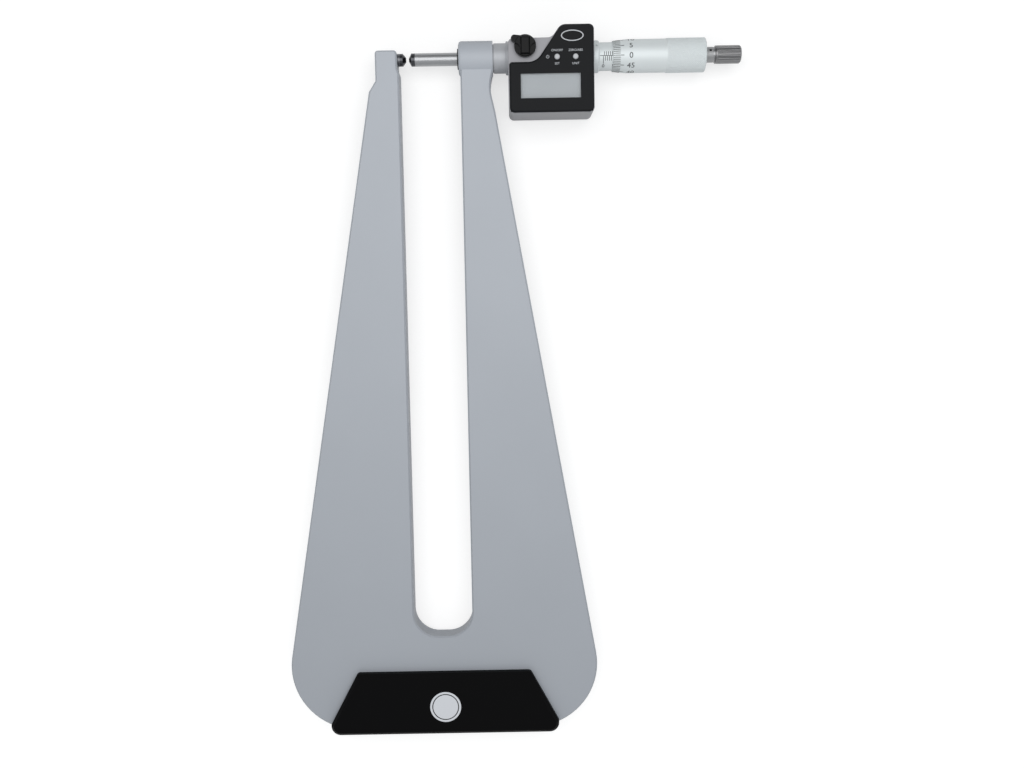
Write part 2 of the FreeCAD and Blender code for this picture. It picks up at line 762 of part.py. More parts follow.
def screw_group(label, places, head_low, head, shank, top):
    """Like screws that stand head down: a head's and a shank's radius, and a slot for the driver."""
    (head_radius, head_height), shank_radius = head, shank
    body = new_body(label)
    posts(body, head_radius, places, head_low, head_height)
    posts(body, shank_radius, places, f"({head_low} + {head_height})", f"{top} - {head_low} - {head_height}")
    slot = sketch_on(body, "XY_Plane", f"({head_low} + driver_slot)")
    for across, up in places:
        draw_outline(slot, rectangle(
            f"({across} - {head_radius} - free_gap)", f"({across} + {head_radius} + free_gap)",
            f"({up} - driver_slot / 2)", f"({up} + driver_slot / 2)"))
    pocket(body, slot, "driver_slot")


def build_buttons():
    for label, (across, up) in zip(("set_button", "unit_button"), button_places):
        low = f"({board_top} + switch_height + button_travel)"
        cap_top = f"({bezel_front} - button_ring_depth + button_proud)"
        turned(label, [
            (low, "0"), (low, "button_flange"), (f"({low} + button_flange_thick)", "button_flange"),
            (f"({low} + button_flange_thick)", "button_radius"), (f"({cap_top} - button_edge)", "button_radius"),
            (cap_top, "(button_radius - button_edge)"), (cap_top, "0"),
        ], upright=True, across=across, up=up)


def build_lock():
    """A lever knob on a shaft that bears on a brass shoe beside the spindle."""
    base = "(housing_front + lock_lift)"
    turned("lock_shaft", [
        ("(lock_shoe_top + run_gap)", "0"), ("(lock_shoe_top + run_gap)", "lock_pin_radius"),
        (f"({base} + lock_base_thick)", "lock_pin_radius"), (f"({base} + lock_base_thick)", "0"),
    ], upright=True, across=lock_x, up="lock_row")
    shoe = new_body("lock_shoe", across=lock_x, up="lock_row")
    posts(shoe, "lock_pin_radius", [("0", "0")], "(-spindle_radius)", "lock_shoe_top + spindle_radius")
    hollow = sketch_on(shoe, "YZ_Plane", "-2 * lock_pin_radius")
    draw_outline(hollow, rectangle(
        "(-2 * spindle_radius - lock_row)", "(2 * spindle_radius)", "(-2 * spindle_radius)", "0"))
    pocket(shoe, hollow, "4 * lock_pin_radius", forward=True)
    saddle = sketch_on(shoe, "YZ_Plane", "-2 * lock_pin_radius")
    draw_circle(saddle, "spindle_radius + run_gap", "(-lock_row)", "0")
    pocket(shoe, saddle, "4 * lock_pin_radius", forward=True)
    knob = new_body("lock_knob", across=lock_x, up="lock_row", out=base)
    posts(knob, "lock_radius", [("0", "0")], "0", "lock_rim_height")
    rim = size("lock_rim_height")
    chamfer(knob, "lock_edge", lambda edge: lies_at(edge, rim))
    posts(knob, "lock_nose_radius", [("-lock_nose_side", "lock_nose_rise")], "0", "lock_nose_thick")
    outline_pad(knob, [
        ("(-lock_nose_side)", "(lock_nose_rise - lock_nose_radius)"), ("0", "(-lock_nose_neck)"),
        ("0", "(lock_radius - lock_edge)"), ("(-lock_nose_neck)", "(lock_radius - lock_edge)"),
        ("(-lock_nose_side)", "(lock_nose_rise + lock_nose_radius)"),
    ], "0", "lock_nose_thick")
    bar_end = "(sqrt(lock_radius ^ 2 - lock_bar_width ^ 2 / 4) - lock_edge)"
    outline_pad(knob, rectangle(
        "(-lock_bar_width / 2)", "(lock_bar_width / 2)", f"(-{bar_end})", bar_end), "0", "lock_height")
    crown = size("lock_height")
    fillet(knob, "lock_bar_round", lambda edge: lies_at(edge, crown))
    scoops = [("(-lock_scoop_side)", "(-lock_scoop_drop)"), ("lock_scoop_side", "(-lock_scoop_drop)")]
    holes(knob, "lock_scoop_radius", scoops, "lock_height", "lock_height - lock_base_thick")
    holes(knob, "lock_pin_radius + fit_gap", [("0", "0")], "lock_base_thick", "lock_base_thick")


def build_spindle(key_x):
    tip = "(open_gap + spindle_tip_length)"
    turned("spindle_tip", [
        ("open_gap", "0"), ("open_gap", "spindle_face_radius"), ("(open_gap + spindle_dome)", "spindle_radius"),
        (tip, "spindle_radius"), (tip, "0"),
    ])
    thread_left = f"({barrel_right} - nut_length - {opened} - free_gap)"
    tail_left = f"({thimble_right} - thimble_end_wall - fit_gap)"
    tail_right = f"({tail_left} + tail_length)"
    spindle = turned("spindle", [
        (tip, "0"), (tip, "spindle_radius"), (thread_left, "spindle_radius"), (thread_left, "screw_radius"),
        (f"({tail_left} - free_gap)", "screw_radius"), (f"({tail_left} - free_gap)", "tail_radius"),
        (tail_left, "tail_radius"), (tail_right, "tail_end_radius"), (tail_right, "ratchet_stub_radius + fit_gap"),
        (f"({thimble_right} - ratchet_stub_length)", "ratchet_stub_radius + fit_gap"),
        (f"({thimble_right} - ratchet_stub_length)", "0"),
    ])
    keyway = rectangle(
        f"({key_x} - {opened} - 2 * key_radius)", f"({key_x} + open_gap + 2 * key_radius)",
        "(-keyway_width / 2)", "(keyway_width / 2)")
    outline_pocket(spindle, keyway, "screw_radius", "screw_radius - spindle_radius + keyway_depth")
    bevel_end = f"({thimble_left} + thimble_bevel)"
    knurl_left = f"({thimble_right} - knurl_length)"
    wall = f"({thimble_right} - thimble_end_wall)"
    turned("thimble", [
        (thimble_left, "thimble_bore"), (thimble_left, "thimble_front_radius"), (bevel_end, "thimble_radius"),
        (knurl_left, "thimble_radius"), (knurl_left, "(knurl_radius - knurl_edge / 2)"),
        (f"({knurl_left} + knurl_edge / 2)", "knurl_radius"), (f"({thimble_right} - knurl_edge)", "knurl_radius"),
        (thimble_right, "(knurl_radius - knurl_edge)"), (thimble_right, "(ratchet_stub_radius + free_gap)"),
        (tail_right, "(ratchet_stub_radius + free_gap)"), (tail_right, "(tail_end_radius + fit_gap)"),
        (wall, "(tail_radius + fit_gap)"), (wall, "thimble_bore"),
    ])


def build_ratchet():
    neck_right = f"({thimble_right} + ratchet_neck_length)"
    knob_left = f"({neck_right} + spring_thick + 2 * run_gap)"
    knob_right = f"({knob_left} + ratchet_knob_length)"
    well = f"({knob_right} - ratchet_well_depth)"
    body = turned("ratchet_body", [
        (f"({thimble_right} - ratchet_stub_length + free_gap)", "0"),
        (f"({thimble_right} - ratchet_stub_length + free_gap)", "ratchet_stub_radius"),
        (thimble_right, "ratchet_stub_radius"), (thimble_right, "ratchet_neck_radius"),
        (neck_right, "ratchet_neck_radius"), (neck_right, "ratchet_shaft_radius"),
        (well, "ratchet_shaft_radius"), (well, "0"),
    ])
    pin_hole = sketch_on(body, "XY_Plane", "ratchet_shaft_radius")
    draw_circle(pin_hole, "ratchet_hole_radius", f"({thimble_right} + ratchet_hole_left)", "0")
    pocket(body, pin_hole, "ratchet_neck_radius", forward=True)
    turn_about_axis(body, "-ratchet_hole_turn")
    turned("ratchet_spring", [
        (f"({neck_right} + run_gap)", "(ratchet_shaft_radius + free_gap)"),
        (f"({neck_right} + run_gap)", "(ratchet_knob_radius - ratchet_groove)"),
        (f"({neck_right} + run_gap + spring_thick)", "(ratchet_knob_radius - ratchet_groove)"),
        (f"({neck_right} + run_gap + spring_thick)", "(ratchet_shaft_radius + free_gap)"),
    ])
    knob = turned("ratchet_knob", [
        (knob_left, "(ratchet_shaft_radius + run_gap)"), (knob_left, "(ratchet_knob_radius - ratchet_groove)"),
        (f"({knob_left} + ratchet_groove)", "(ratchet_knob_radius - ratchet_groove)"),
        (f"({knob_left} + ratchet_groove)", "ratchet_knob_radius"),
        (f"({knob_right} - ratchet_knob_bevel)", "ratchet_knob_radius"),
        (knob_right, "(ratchet_knob_radius - ratchet_knob_bevel)"), (knob_right, "ratchet_well_radius"),
        (well, "ratchet_well_radius"), (well, "(ratchet_shaft_radius + run_gap)"),
    ])
    flute = sketch_on(knob, "YZ_Plane", f"({knob_left} + 2 * ratchet_groove)")
    draw_circle(flute, "ratchet_flute_radius", "0", "ratchet_knob_radius")
    cut = pocket(knob, flute, "ratchet_knob_length", forward=True)
    pattern = knob.newObject("PartDesign::PolarPattern", "ratchet_knob_flutes")
    pattern.Originals = [cut]
    pattern.Axis = (next(o for o in knob.Origin.OriginFeatures if o.Role == "X_Axis"), [""])
    pattern.Angle = 360
    bind(pattern, "Occurrences", "ratchet_flutes")
    knob.Tip = pattern
    doc.recompute()
    turned("ratchet_screw", [
        (f"({well} + run_gap)", "0"), (f"({well} + run_gap)", "(ratchet_well_radius - free_gap)"),
        (f"({knob_right} - 2 * free_gap)", "(ratchet_well_radius - free_gap)"),
        (f"({knob_right} - 2 * free_gap)", "0"),
    ])


def build_sleeve():
    ring_right = f"({ring_left} + ring_length)"
    ring = turned("sleeve_ring", [
        (ring_left, "(barrel_radius + fit_gap)"), (ring_left, "(ring_radius - ring_bevel)"),
        (f"({ring_left} + ring_bevel)", "ring_radius"), (f"({ring_right} - ring_bevel)", "ring_radius"),
        (ring_right, "(ring_radius - ring_bevel)"), (ring_right, "(barrel_radius + fit_gap)"),
    ])
    spot = sketch_on(ring, "XY_Plane", "ring_radius")
    draw_circle(spot, "ring_hole_radius", f"({ring_left} + ring_length / 2)", "0")
    pocket(ring, spot, "ring_hole_depth")
    turn_about_axis(ring, "-ring_hole_turn")
    sleeve = turned("scale_sleeve", ring_profile(
        sleeve_left, sleeve_right, "(barrel_radius + run_gap)", "sleeve_radius"))
    hole = sketch_on(sleeve, "XY_Plane", "-sleeve_radius")
    draw_circle(hole, "sleeve_hole_radius", f"({sleeve_left} + sleeve_hole_left)", "0")
    pocket(sleeve, hole, "sleeve_radius - barrel_radius", forward=True)


def grip_outline():
    low, side, high = grip_bottom, f"({grip_bottom} + grip_height - grip_side_height)", \
        f"({grip_bottom} + grip_height)"
    return mirrored([("grip_top_half", high), ("grip_bottom_half", side), ("grip_bottom_half", low)])


def build_grips():
    """Two moulded shells, screwed together through the frame, with lips that meet below it."""
    lip = mirrored([("grip_lip_half", frame_bottom), ("grip_lip_half", grip_bottom)])
    rear_thick = f"(rest_depth - {frame_half})"
    front_face = f"({frame_half} + grip_front_thick)"
    front = new_body("grip_front")
    plate = outline_pad(front, grip_outline(), frame_half, "grip_front_thick")
    round_corners(front, plate, {"grip_top_corner": [0, 5], "grip_corner": [2, 3]})
    level = size("frame_thick") / 2 + size("grip_front_thick")
    chamfer(front, "grip_bevel", lambda edge: lies_at(edge, level))
    outline_pad(front, lip, "fit_gap", frame_half)
    posts(front, "grip_pin_radius", grip_screws_at, f"(-{frame_half})", "frame_thick")
    holes(front, "grip_screw_radius + fit_gap", grip_screws_at, frame_half, "frame_thick")
    rear = new_body("grip_rear")
    plate = outline_pad(rear, grip_outline(), "-rest_depth", rear_thick)
    round_corners(rear, plate, {"grip_top_corner": [0, 5], "grip_corner": [2, 3]})
    chamfer(rear, "grip_bevel", lambda edge: lies_at(edge, -size("rest_depth")))
    outline_pad(rear, lip, f"(-{frame_half} - fit_gap)", frame_half)
    holes(rear, "grip_screw_radius + free_gap", grip_screws_at, f"(-{frame_half})", rear_thick)
    holes(rear, "grip_head_radius + free_gap", grip_screws_at,
          "(grip_head_sunk + grip_head_height - rest_depth)", "grip_head_sunk + grip_head_height")


build_frame()
build_anvil()
build_stem()
build_housing()
build_bezel()
key_x = build_electronics()
build_battery()
screw_group("housing_screws", case_screws, "(case_head_sunk - rest_depth)",
            ("case_head_radius", "case_head_height"), "case_screw_radius", "housing_front")
build_buttons()
build_lock()
build_spindle(key_x)
build_ratchet()
build_sleeve()
build_grips()
screw_group("grip_screws", grip_screws_at, "(grip_head_sunk - rest_depth)",
            ("grip_head_radius", "grip_head_height"), "grip_screw_radius", f"({frame_half} - grip_bevel)")

doc.recompute()
for item in doc.Objects:
    if "Invalid" in item.State or "Error" in item.State:
        raise ValueError(f"{item.Label} is not built: {item.State}")
os.makedirs("parts", exist_ok=True)
for piece in pieces:
    if piece.Shape.isNull() or not piece.Shape.isValid():
        raise ValueError(f"{piece.Label} has no sound shape")
    piece.Shape.exportStep(f"parts/{piece.Label}.step")
    print(piece.Label, len(piece.Shape.Solids), round(piece.Shape.Volume, 1))
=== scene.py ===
"""Dresses a sheet metal micrometer: finishes, scales, print, knurl and a plain stage."""
import json
from math import ceil, cos, pi, radians, sin

import bmesh
import bpy
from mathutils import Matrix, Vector


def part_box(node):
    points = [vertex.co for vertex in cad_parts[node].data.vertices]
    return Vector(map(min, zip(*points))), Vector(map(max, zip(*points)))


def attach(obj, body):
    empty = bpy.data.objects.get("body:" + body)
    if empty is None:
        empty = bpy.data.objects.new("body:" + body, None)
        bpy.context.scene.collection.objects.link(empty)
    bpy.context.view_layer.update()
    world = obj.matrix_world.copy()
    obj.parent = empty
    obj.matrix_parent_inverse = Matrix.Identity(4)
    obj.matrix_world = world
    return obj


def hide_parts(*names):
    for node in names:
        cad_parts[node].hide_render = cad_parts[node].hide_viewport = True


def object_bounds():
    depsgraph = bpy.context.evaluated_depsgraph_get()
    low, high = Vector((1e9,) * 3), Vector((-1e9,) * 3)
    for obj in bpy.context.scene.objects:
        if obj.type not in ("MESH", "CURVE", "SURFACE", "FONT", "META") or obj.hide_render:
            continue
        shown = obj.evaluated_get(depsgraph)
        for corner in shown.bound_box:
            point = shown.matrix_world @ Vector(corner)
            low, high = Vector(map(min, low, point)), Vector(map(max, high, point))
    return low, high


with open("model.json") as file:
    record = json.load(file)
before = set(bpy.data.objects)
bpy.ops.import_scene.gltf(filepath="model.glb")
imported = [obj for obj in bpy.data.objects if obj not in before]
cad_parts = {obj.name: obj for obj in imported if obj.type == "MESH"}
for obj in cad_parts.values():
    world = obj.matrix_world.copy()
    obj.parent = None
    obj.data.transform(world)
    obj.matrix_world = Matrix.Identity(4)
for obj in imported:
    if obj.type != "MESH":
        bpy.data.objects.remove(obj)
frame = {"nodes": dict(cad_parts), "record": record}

bl_info = {
    "name": "Sheet Metal Micrometer",
    "version": (1, 0, 0),
    "blender": (4, 5, 0),
    "location": "View3D > Sidebar > Micrometer",
    "description": "Dresses a deep-throat digital micrometer and sets its stage",
    "category": "Object",
}

MM = 0.001
CAD_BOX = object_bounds()
SLEEVE_LOW, SLEEVE_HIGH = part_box("scale_sleeve")
THIMBLE_LOW, THIMBLE_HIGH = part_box("thimble")
BEZEL_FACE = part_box("bezel")[1].z
GRIP_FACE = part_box("grip_front")[1].z
SET_LOW, SET_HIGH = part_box("set_button")
UNIT_LOW, UNIT_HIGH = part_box("unit_button")
SLEEVE_RADIUS = SLEEVE_HIGH.z
CLEAR = 0.02 * MM
SENSOR = 36.0
SEEN_RANGE = (0.01, 50.0)
# Heights of a direction, 0 at the horizon and 1 overhead, between which the light changes
SKY_RISE = (0.0, 0.8)
FILL_RISE = (0.0, 1.0)
WALL_END = (0.1, 0.3)
# A letter's cap height, as a share of the type size
CAP = 0.7
# Widest turn that one flat facet of a line on a round surface may span
FACET = radians(3)
# Points that round the knurled band's end off, as shares of its length and of its depth
ROUNDING = ((0.3, 0.1), (0.7, 0.4))


def tint(red, green, blue):
    """A colour as it is seen on a screen, from 0 to 255, in the light that Blender counts in."""
    def light(level):
        level /= 255
        return level / 12.92 if level < 0.04045 else ((level + 0.055) / 1.055) ** 2.4
    return light(red), light(green), light(blue)


def length(name, description, default, low=0.0, high=1.0):
    """A setting that is a length in metres."""
    return bpy.props.FloatProperty(name=name, description=description, default=default,
                                   min=low, max=high, subtype="DISTANCE", unit="LENGTH", precision=5)


def angle(name, description, default):
    """A setting that is an angle, with its default in degrees."""
    return bpy.props.FloatProperty(name=name, description=description, default=radians(default),
                                   subtype="ANGLE", unit="ROTATION")


def colour(name, description, default):
    """A setting that holds a colour."""
    return bpy.props.FloatVectorProperty(name=name, description=description, default=default,
                                         size=3, min=0, max=1, subtype="COLOR")


def amount(name, description, default, low=0.0, high=1.0):
    """A setting that is a share or a strength."""
    return bpy.props.FloatProperty(name=name, description=description, default=default,
                                   min=low, max=high, subtype="FACTOR")


def count(name, description, default, low, high):
    """A setting that is a whole number."""
    return bpy.props.IntProperty(name=name, description=description, default=default, min=low, max=high)


def coordinates(name, description, default, subtype="XYZ_LENGTH"):
    """A setting that holds a place in metres or, with subtype EULER, a turn."""
    unit = "ROTATION" if subtype == "EULER" else "LENGTH"
    return bpy.props.FloatVectorProperty(name=name, description=description, default=default,
                                         subtype=subtype, unit=unit)


class ScaleSettings(bpy.types.PropertyGroup):
    """Lines and numbers of the sleeve and the thimble."""
    ink: colour("Ink", "Colour of the filled lines and numbers", tint(15, 16, 18))
    ink_thick: length("Ink thickness", "How far the filled lines stand proud", 0.03 * MM)
    line_width: length("Line width", "Width of each line", 0.27 * MM)
    margin: length("Margin", "Bare part of the sleeve before its datum line", 0.2 * MM)
    bare: length("Bare edge", "Bare part of the thimble before its lines", 0.15 * MM)
    zero: length("Zero line", "Place of the sleeve's zero line along the axis", 99.7 * MM)
    datum: angle("Datum turn", "Turn of the datum line from the front towards the head's top", -7.2)
    reach: count("Reach", "Millimetres on the sleeve's scale", 25, 5, 50)
    full_turn: angle("Millimetre turn", "Turn from the datum line to a millimetre line's end", -20.5)
    long_turn: angle("Fifth turn", "Turn from the datum line to the end of each fifth line", -33.0)
    half_turn: angle("Half turn", "Turn from the datum line to the end of a half-millimetre line", 17.0)
    number_turn: angle("Number turn", "Turn from the datum line to the sleeve's numbers", -44.0)
    sleeve_number: length("Sleeve number", "Height of the sleeve's numbers", 1.9 * MM)
    fifth: count("Fifth", "Every so many lines, one is longer and has a number", 5, 2, 10)
    divisions: count("Divisions", "Lines round the thimble", 50, 10, 100)
    short_line: length("Short line", "Length of the thimble's plain lines", 3.7 * MM)
    long_line: length("Long line", "Length of each fifth line on the thimble", 5.5 * MM)
    thimble_number: length("Thimble number", "Height of the thimble's numbers", 2.8 * MM)
    number_place: length("Number place", "Middle of the numbers from the thimble's front edge", 9.0 * MM)


class ThimbleSettings(bpy.types.PropertyGroup):
    """Turned body and knurl of the thimble."""
    front_radius: length("Front radius", "Radius of the bevel's front edge", 7.5 * MM)
    body_radius: length("Body radius", "Radius behind the bevel", 8.25 * MM)
    bevel: length("Bevel", "Length of the bevel", 7.2 * MM)
    lip: length("Lip", "Small bevel at the front edge", 0.1 * MM)
    bore: length("Bore", "Radius of the bore over the sleeve", 7.3 * MM)
    end_wall: length("End wall", "Thickness of the closed end", 6.4 * MM)
    end_hole: length("End hole", "Radius of the hole in the closed end", 3.4 * MM)
    band: length("Knurled band", "Length of the knurled band", 19.8 * MM)
    edge: length("Band edge", "Bevel at the band's ends", 0.6 * MM)
    pitch: length("Knurl pitch", "Length of one diamond along the axis", 1.0 * MM)
    diamonds: count("Diamonds", "Diamonds round the band", 52, 12, 120)
    steps: count("Diamond steps", "Points across one diamond, each way", 6, 2, 12)
    depth: length("Knurl depth", "Depth of the grooves between the diamonds", 0.3 * MM)
    flat: amount("Diamond flats", "Share of a diamond's height that is left off its tip", 0.15)


class PrintSettings(bpy.types.PropertyGroup):
    """Labels on the bezel and the plain badge on the grip."""
    white: colour("Label", "Colour of the printed labels", tint(188, 191, 195))
    letter: length("Letter height", "Height of the labels' letters", 1.1 * MM)
    symbol: length("Symbol radius", "Radius of the power symbol", 0.8 * MM)
    stroke: length("Symbol stroke", "Width of the power symbol's lines", 0.2 * MM)
    above: length("Upper labels", "From the buttons' middle up to that of the upper labels", 3.1 * MM)
    below: length("Lower labels", "From the buttons' middle down to that of the lower labels", 3.3 * MM)
    symbol_side: length("Symbol place", "From the button's middle left to the symbol's", 4.7 * MM)
    thick: length("Print thickness", "How far the print stands proud", 0.03 * MM)
    oval_place: coordinates("Oval place", "Middle of the plain oval", (83.7 * MM, 7.6 * MM, 0.0))
    oval: coordinates("Oval", "Half the oval's width and height", (5.6 * MM, 2.7 * MM, 0.0))
    oval_open: coordinates("Oval opening", "The same inside its line", (5.1 * MM, 2.25 * MM, 0.0))
    badge: colour("Badge", "Colour of the plain badge", tint(218, 221, 226))
    badge_place: coordinates("Badge place", "Middle of the plain badge", (12.6 * MM, -336.9 * MM, 0.0))
    badge_radius: length("Badge radius", "Radius of the plain badge", 8.2 * MM)
    badge_rim: length("Badge rim", "Width of the badge's rim", 1.1 * MM)
    badge_groove: length("Badge groove", "Width of the groove inside the rim", 0.5 * MM)
    badge_thick: length("Badge thickness", "How far the badge stands proud", 0.06 * MM)


class FinishSettings(bpy.types.PropertyGroup):
    """Colours and roughness of the finishes."""
    paint: colour("Frame paint", "Colour of the frame's paint", tint(169, 174, 181))
    chrome: colour("Satin chrome", "Colour of sleeve and thimble", tint(213, 219, 220))
    steel: colour("Ground steel", "Colour of the spindle", tint(158, 159, 161))
    collar: colour("Collar", "Colour of the turned collar", tint(172, 174, 178))
    # Painted shade: the anvil is steel like the spindle, made darker here for the dark that it reflects
    anvil: colour("Anvil steel", "Colour of the anvil and its nose", tint(104, 105, 108))
    carbide: colour("Carbide", "Colour of the measuring tips", tint(72, 73, 76))
    housing: colour("Housing", "Colour of the case", tint(152, 152, 156))
    bezel: colour("Bezel", "Colour of the display's surround", tint(23, 24, 26))
    display: colour("Display", "Colour of the blank display", tint(165, 170, 174))
    grip: colour("Grip", "Colour of the grip shells", tint(7, 7, 8))
    button: colour("Buttons", "Colour of the two buttons", tint(181, 183, 186))
    lock: colour("Lock knob", "Colour of the lock's knob", tint(8, 8, 9))
    neck: colour("Ratchet neck", "Colour of the ratchet's neck", tint(150, 151, 152))
    ratchet: colour("Ratchet knob", "Colour of the fluted knob", tint(125, 125, 126))


class StageSettings(bpy.types.PropertyGroup):
    """Camera, floor and light."""
    place: coordinates("Camera place", "Where the camera stands", (0.051052, -0.113009, 0.537511))
    turn: coordinates("Camera turn", "The camera's turn about X, Y and Z",
                      (radians(-5.66863), radians(-0.07879), radians(-1.02161)), "EULER")
    focal: bpy.props.FloatProperty(name="Focal length", description="In millimetres, on a 36 mm sensor",
                                   default=36.2109, min=10, max=200)
    floor: colour("Floor", "Colour of the floor", (0.42, 0.42, 0.42))
    floor_lift: amount("Floor lift", "Light that the camera sees in the floor, far from the lamp", 0.85)
    lamp_lift: amount("Lamp lift", "The part of it that the floor leaves out under the lamp", 0.25)
    floor_size: length("Floor size", "Side of the square floor", 40.0, 0.5, 100.0)
    sky: amount("Sky", "Strength of the light from overhead", 0.45, 0, 3)
    horizon: amount("Horizon", "Share of the sky's light that is left at the horizon", 0.38)
    fill: amount("Fill", "Strength of the soft light from the grip's side", 0.45)
    wall: amount("Wall", "Strength of the pale wall that the camera sees round the floor", 1.03, 0, 3)
    air: colour("Air", "Colour of the light from the room", (0.97, 0.985, 1.0))
    key_place: coordinates("Key place", "Where the large soft lamp hangs", (0.05, 0.05, 0.6))
    key_aim: coordinates("Key aim", "What the large soft lamp points at", (0.05, 0.0, 0.0))
    key_width: length("Key width", "The lamp's size along the head", 0.8, 0.01, 5.0)
    key_depth: length("Key depth", "The lamp's size across the head", 0.5, 0.01, 5.0)
    key: bpy.props.FloatProperty(name="Key lamp", description="Power of the large soft lamp in watts",
                                 default=2.8, min=0, max=100)


class Shade:
    """A shader socket that can be calculated with: each operator adds a Math node."""

    def __init__(self, graph, socket):
        self.graph = graph
        self.socket = socket

    def _math(self, operation, first, second):
        return self.graph.node("ShaderNodeMath", {"operation": operation}, {0: first, 1: second})

    def __add__(self, other):
        return self._math("ADD", self, other)

    __radd__ = __add__

    def __sub__(self, other):
        return self._math("SUBTRACT", self, other)

    def __rsub__(self, other):
        return self._math("SUBTRACT", other, self)

    def __mul__(self, other):
        return self._math("MULTIPLY", self, other)

    __rmul__ = __mul__

    def __truediv__(self, other):
        return self._math("DIVIDE", self, other)

    def __rtruediv__(self, other):
        return self._math("DIVIDE", other, self)

    def __pow__(self, other):
        return self._math("POWER", self, other)

    def ramp(self, low, high):
        """0 below low and 1 above high, with a smooth step between."""
        settings = {"interpolation_type": "SMOOTHSTEP"}
        return self.graph.node("ShaderNodeMapRange", settings, {"Value": self, 1: low, 2: high})


class Graph:
    """A node tree that is filled one node at a time."""

    def __init__(self, tree):
        self.tree = tree
        tree.nodes.clear()

    def node(self, kind, settings=None, inputs=None, output=0):
        """Adds one node, with its settings made first, and gives one of its outputs."""
        made = self.tree.nodes.new(kind)
        for key, value in (settings or {}).items():
            setattr(made, key, value)
        for key, value in (inputs or {}).items():
            if isinstance(value, Shade):
                self.tree.links.new(value.socket, made.inputs[key])
            else:
                made.inputs[key].default_value = value
        return Shade(self, made.outputs[output]) if made.outputs else None

    def place(self, x=1.0, y=1.0, z=1.0):
        """The surface's place in metres, stretched by a factor along each axis."""
        spot = self.node("ShaderNodeTexCoord", output="Object")
        return self.node("ShaderNodeVectorMath", {"operation": "MULTIPLY"}, {0: spot, 1: (x, y, z)})

    def noise(self, x, y, z, detail=2.0, rough=0.5):
        """Smooth random values from 0 to 1, with so many lumps a metre along each axis."""
        return self.node("ShaderNodeTexNoise", None, {
            "Vector": self.place(x, y, z), "Scale": 1.0, "Detail": detail, "Roughness": rough})

    def even(self, lumps, detail=2.0, rough=0.5):
        """The same with as many lumps along each axis."""
        return self.noise(lumps, lumps, lumps, detail, rough)

    def mix(self, factor, first, second):
        """A colour between two colours."""
        return self.node("ShaderNodeMix", {"data_type": "RGBA"},
                         {0: factor, 6: opaque(first), 7: opaque(second)}, 2)

    def seen(self):
        """1 for what the camera sees, also in metal and through glass, and 0 for light on things."""
        camera = self.node("ShaderNodeLightPath", output="Is Camera Ray")
        rays = camera.socket.node.outputs
        return camera + Shade(self, rays["Is Glossy Ray"]) + Shade(self, rays["Is Transmission Ray"])

    def bump(self, height, distance):
        """The normal of a surface that rises by a distance where the height is 1."""
        return self.node("ShaderNodeBump", None, {"Height": height, "Distance": distance, "Strength": 1.0})


def opaque(value):
    """A colour with an alpha of 1, or a link as it is."""
    return value if isinstance(value, Shade) else (*value, 1.0)


def scaled(value, factor):
    """A lighter or darker colour."""
    return tuple(min(1.0, part * factor) for part in value)


class Finish(Graph):
    """A surface material and its nodes."""

    def __init__(self, name):
        self.material = bpy.data.materials.new(name)
        self.material.use_nodes = True
        super().__init__(self.material.node_tree)

    def varied(self, mask, base, low, high):
        """The base colour times low where the mask is 0 and times high where it is 1."""
        return self.mix(mask, scaled(base, low), scaled(base, high))

    def surface(self, base, **sockets):
        """Ends the material in a principled shader. Socket names are written with _ for a space."""
        inputs = {"Base Color": opaque(base)}
        inputs.update((key.replace("_", " "), value) for key, value in sockets.items())
        shader = self.node("ShaderNodeBsdfPrincipled", None, inputs)
        self.node("ShaderNodeOutputMaterial", None, {"Surface": shader})
        return self.material


def painted(name, base):
    """Sprayed paint with a slight orange peel."""
    f = Finish(name)
    cloud = f.even(22, detail=3)
    peel = f.even(900)
    dust = f.even(4200, detail=1)
    return f.surface(f.varied(cloud, base, 0.965, 1.035),
                     Roughness=0.40 + 0.08 * peel + 0.05 * dust, Specular_IOR_Level=0.45,
                     Normal=f.bump(peel + 0.25 * dust, 0.02 * MM))


def moulded(name, base, roughness, grain, depth, specular=0.3):
    """Moulded plastic with a fine spark-eroded grain."""
    f = Finish(name)
    grains = f.even(grain, detail=3, rough=0.6)
    flow = f.even(40)
    return f.surface(f.varied(0.6 * grains + 0.4 * flow, base, 0.93, 1.07),
                     Roughness=roughness + 0.12 * (grains - 0.5), Specular_IOR_Level=specular,
                     Normal=f.bump(grains, depth))


def turned(name, base, roughness):
    """Metal ground or turned about the measuring axis, with fine lines round it."""
    f = Finish(name)
    lines = f.noise(9000, 90, 90)
    bands = f.noise(260, 40, 40, detail=3)
    return f.surface(f.varied(0.5 * lines + 0.5 * bands, base, 0.94, 1.05),
                     Metallic=1.0, Roughness=roughness + 0.1 * (lines - 0.5) + 0.06 * (bands - 0.5),
                     Normal=f.bump(lines, 0.002 * MM))


def satin(name, base, roughness, metal=1.0):
    """Blasted and plated metal, even and soft, as on a scale."""
    f = Finish(name)
    blast = f.even(6500)
    cloud = f.even(60, detail=3)
    return f.surface(f.varied(0.5 * blast + 0.5 * cloud, base, 0.96, 1.04),
                     Metallic=metal, Roughness=roughness + 0.08 * (blast - 0.5) + 0.04 * (cloud - 0.5),
                     Normal=f.bump(blast, 0.004 * MM))


def printed(name, base, roughness=0.55):
    """Screen-printed labels, filled ink and the badge's print."""
    f = Finish(name)
    cover = f.even(3500)
    return f.surface(f.varied(cover, base, 0.9, 1.08),
                     Roughness=roughness + 0.1 * (cover - 0.5), Specular_IOR_Level=0.2)


def glossy(name, base):
    """Polished black moulding."""
    f = Finish(name)
    sink = f.even(300)
    smear = f.noise(90, 240, 90, detail=3)
    return f.surface(f.varied(sink, base, 0.85, 1.15),
                     Roughness=0.1 + 0.1 * smear, Specular_IOR_Level=0.11,
                     Normal=f.bump(sink, 0.015 * MM))


